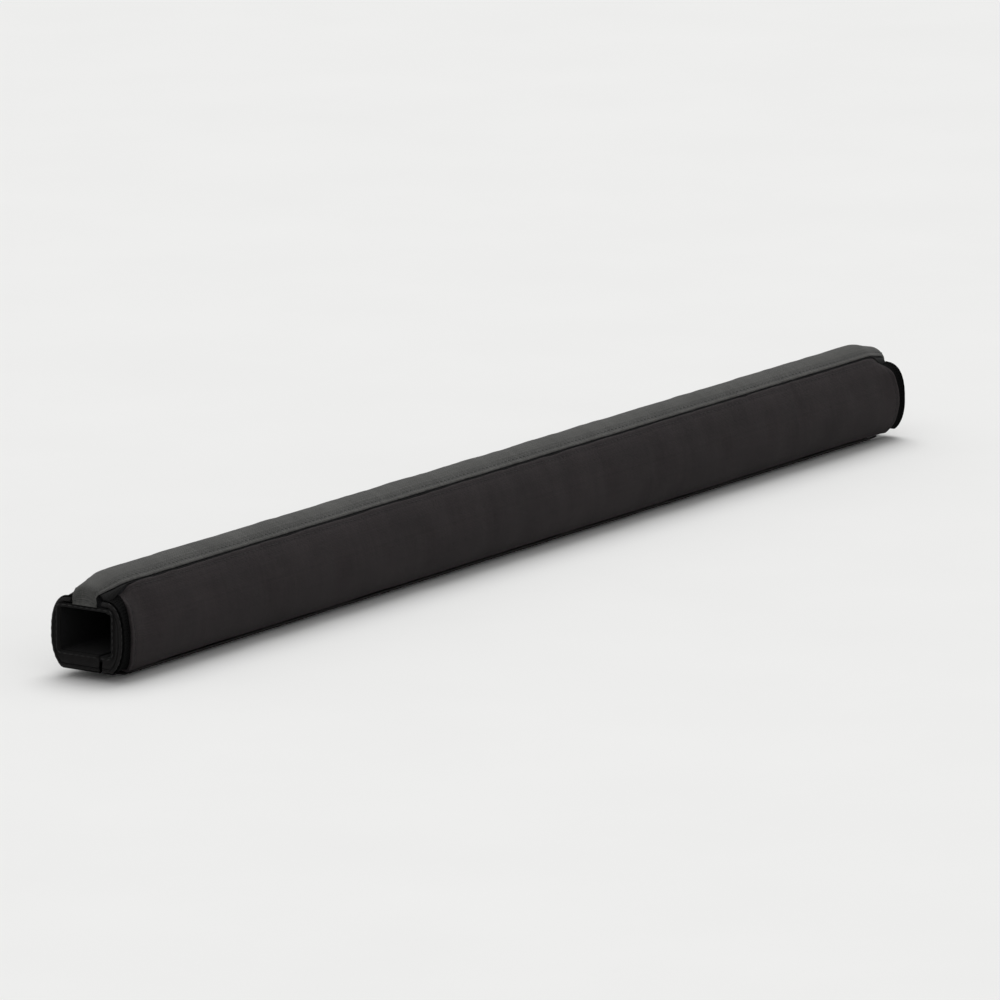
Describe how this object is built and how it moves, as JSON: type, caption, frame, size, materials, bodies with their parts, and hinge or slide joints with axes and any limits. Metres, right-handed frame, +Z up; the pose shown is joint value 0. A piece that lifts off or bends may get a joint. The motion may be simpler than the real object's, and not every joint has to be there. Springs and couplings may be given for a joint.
{
  "type": "roof rack pad",
  "caption": "Padded sleeve that wraps round a rectangular roof bar, with a grey crowned top, dark side panels, tapered ends and a hook-and-loop flap underneath.",
  "frame": {"origin": "middle of the flat underside of the closing flap, halfway along the pad", "axes": "+X runs along the roof bar, +Y is across the bar towards the rear panel, +Z is up through the grey top"},
  "size_m": [0.76, 0.049, 0.0549],
  "materials": {
    "grey_canvas": "matt woven grey wear cloth",
    "black_canvas": "matt woven warm black cloth",
    "gusset_mesh": "dull black knitted mesh",
    "end_cloth": "matt dark woven cloth",
    "binding_tape": "ribbed black binding tape",
    "lining_cloth": "rubber-coated black lining",
    "foam": "closed-cell foam",
    "hook_tape": "black hook tape",
    "loop_tape": "fuzzy black loop tape"
  },
  "bodies": {
    "root": {"foam_core": "foam", "channel_lining": "lining_cloth", "top_panel": "grey_canvas", "front_panel": "black_canvas", "rear_panel": "black_canvas", "front_seam_tape": "binding_tape", "rear_seam_tape": "binding_tape", "left_front_gusset": "gusset_mesh", "left_rear_gusset": "gusset_mesh", "right_front_gusset": "gusset_mesh", "right_rear_gusset": "gusset_mesh", "left_end_panel": "end_cloth", "right_end_panel": "end_cloth", "left_opening_binding": "binding_tape", "right_opening_binding": "binding_tape", "closing_flap": "black_canvas", "hook_strip": "hook_tape", "loop_strip": "loop_tape"}
  },
  "joints": []
}
